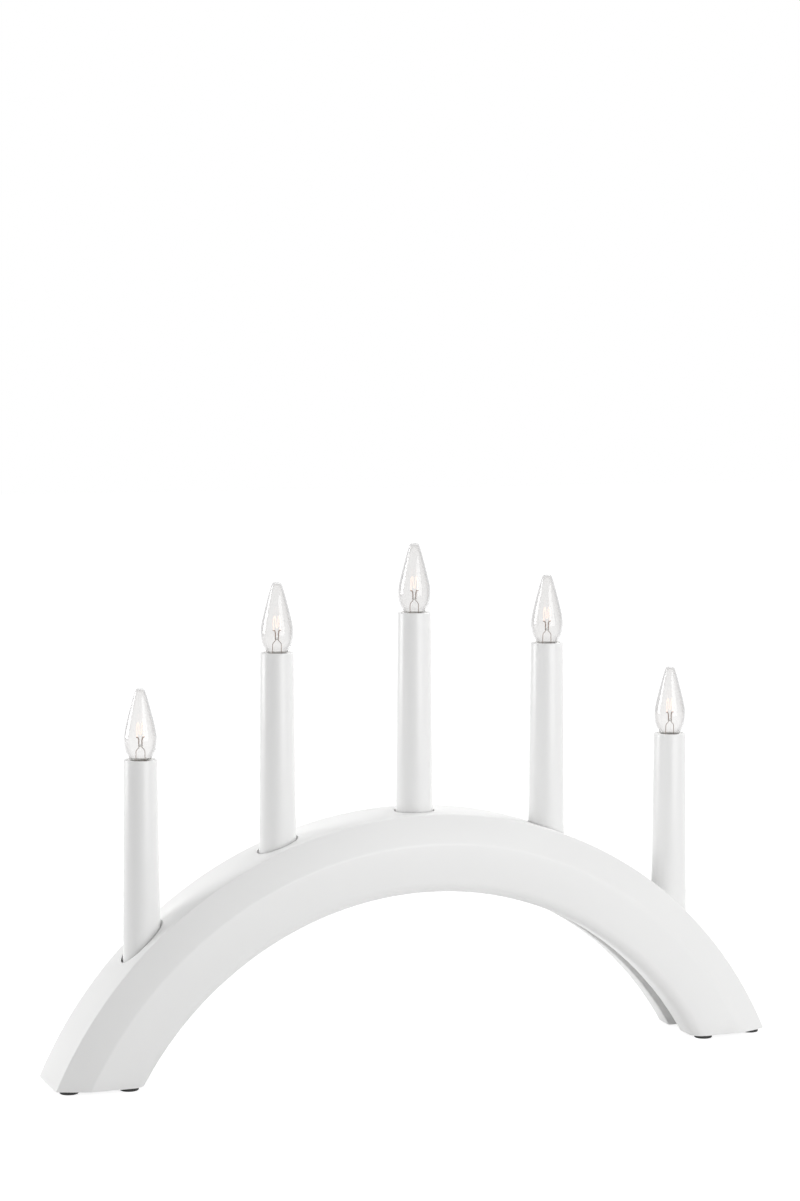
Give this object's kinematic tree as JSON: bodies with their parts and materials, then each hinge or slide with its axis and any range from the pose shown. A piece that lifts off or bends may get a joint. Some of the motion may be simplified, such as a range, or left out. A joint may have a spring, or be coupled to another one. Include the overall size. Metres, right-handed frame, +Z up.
{
  "type": "electric candle arch",
  "caption": "White wooden candle arch with a flat-cut bevelled band and tapering candle tubes that hold screw-in flame-shaped bulbs.",
  "frame": {"origin": "middle of the base, on the surface that the pads under the feet stand on", "axes": "+Z up, +X along the arch to the right seen from its front, +Y to its back"},
  "size_m": [0.3702, 0.045, 0.2528],
  "materials": {
    "arch": "white satin lacquer",
    "foot_pads": "matt black",
    "sleeve": "white satin",
    "holder": "white moulded",
    "brass_contact": "plain",
    "bulb_glass": "clear",
    "bulb_cap": "bright",
    "insulator": "black glass",
    "solder": "soldered",
    "filament_mount": "drawn wire",
    "wire": "white insulated",
    "staples": "plain",
    "splices": "tinned"
  },
  "bodies": {
    "root": {"arch": "arch", "foot_pads": "foot_pads", "candle_sleeve_1": "sleeve", "candle_sleeve_2": "sleeve", "candle_sleeve_3": "sleeve", "candle_sleeve_4": "sleeve", "candle_sleeve_5": "sleeve", "lamp_holder_1": "holder", "lamp_holder_2": "holder", "lamp_holder_3": "holder", "lamp_holder_4": "holder", "lamp_holder_5": "holder", "screw_shell_1": "brass_contact", "screw_shell_2": "brass_contact", "screw_shell_3": "brass_contact", "screw_shell_4": "brass_contact", "screw_shell_5": "brass_contact", "contact_tongue_1": "brass_contact", "contact_tongue_2": "brass_contact", "contact_tongue_3": "brass_contact", "contact_tongue_4": "brass_contact", "contact_tongue_5": "brass_contact", "link_wire_1": "wire", "link_wire_2": "wire", "link_wire_3": "wire", "link_wire_4": "wire", "supply_wire": "wire", "return_wire": "wire", "wire_staples": "staples", "crimp_splices": "splices"},
    "bulb_1_thread": {"solder_tip_1": "solder"},
    "bulb_1": {"bulb_glass_1": "bulb_glass", "bulb_cap_1": "bulb_cap", "cap_insulator_1": "insulator", "filament_mount_1": "filament_mount"},
    "bulb_2_thread": {"solder_tip_2": "solder"},
    "bulb_2": {"bulb_glass_2": "bulb_glass", "bulb_cap_2": "bulb_cap", "cap_insulator_2": "insulator", "filament_mount_2": "filament_mount"},
    "bulb_3_thread": {"solder_tip_3": "solder"},
    "bulb_3": {"bulb_glass_3": "bulb_glass", "bulb_cap_3": "bulb_cap", "cap_insulator_3": "insulator", "filament_mount_3": "filament_mount"},
    "bulb_4_thread": {"solder_tip_4": "solder"},
    "bulb_4": {"bulb_glass_4": "bulb_glass", "bulb_cap_4": "bulb_cap", "cap_insulator_4": "insulator", "filament_mount_4": "filament_mount"},
    "bulb_5_thread": {"solder_tip_5": "solder"},
    "bulb_5": {"bulb_glass_5": "bulb_glass", "bulb_cap_5": "bulb_cap", "cap_insulator_5": "insulator", "filament_mount_5": "filament_mount"}
  },
  "joints": [
    {"name": "bulb_1_rise", "type": "slide", "parent": "root", "child": "bulb_1_thread", "axis": [0, 0, 1], "range_m": [0, 0.00726]},
    {"name": "bulb_1_turn", "type": "hinge", "parent": "bulb_1_thread", "child": "bulb_1", "pos_m": [-0.1385, 0, 0.15363], "axis": [0, 0, 1], "range_deg": [0, 1440]},
    {"name": "bulb_2_rise", "type": "slide", "parent": "root", "child": "bulb_2_thread", "axis": [0, 0, 1], "range_m": [0, 0.00726]},
    {"name": "bulb_2_turn", "type": "hinge", "parent": "bulb_2_thread", "child": "bulb_2", "pos_m": [-0.0705, 0, 0.20203], "axis": [0, 0, 1], "range_deg": [0, 1440]},
    {"name": "bulb_3_rise", "type": "slide", "parent": "root", "child": "bulb_3_thread", "axis": [0, 0, 1], "range_m": [0, 0.00726]},
    {"name": "bulb_3_turn", "type": "hinge", "parent": "bulb_3_thread", "child": "bulb_3", "pos_m": [0, 0, 0.2192], "axis": [0, 0, 1], "range_deg": [0, 1440]},
    {"name": "bulb_4_rise", "type": "slide", "parent": "root", "child": "bulb_4_thread", "axis": [0, 0, 1], "range_m": [0, 0.00726]},
    {"name": "bulb_4_turn", "type": "hinge", "parent": "bulb_4_thread", "child": "bulb_4", "pos_m": [0.0705, 0, 0.20203], "axis": [0, 0, 1], "range_deg": [0, 1440]},
    {"name": "bulb_5_rise", "type": "slide", "parent": "root", "child": "bulb_5_thread", "axis": [0, 0, 1], "range_m": [0, 0.00726]},
    {"name": "bulb_5_turn", "type": "hinge", "parent": "bulb_5_thread", "child": "bulb_5", "pos_m": [0.1385, 0, 0.15363], "axis": [0, 0, 1], "range_deg": [0, 1440]}
  ],
  "couplings": [
    {"joint": "bulb_1_rise", "follows": "bulb_1_turn", "m_per_rad": 0.00028871},
    {"joint": "bulb_2_rise", "follows": "bulb_2_turn", "m_per_rad": 0.00028871},
    {"joint": "bulb_3_rise", "follows": "bulb_3_turn", "m_per_rad": 0.00028871},
    {"joint": "bulb_4_rise", "follows": "bulb_4_turn", "m_per_rad": 0.00028871},
    {"joint": "bulb_5_rise", "follows": "bulb_5_turn", "m_per_rad": 0.00028871}
  ]
}
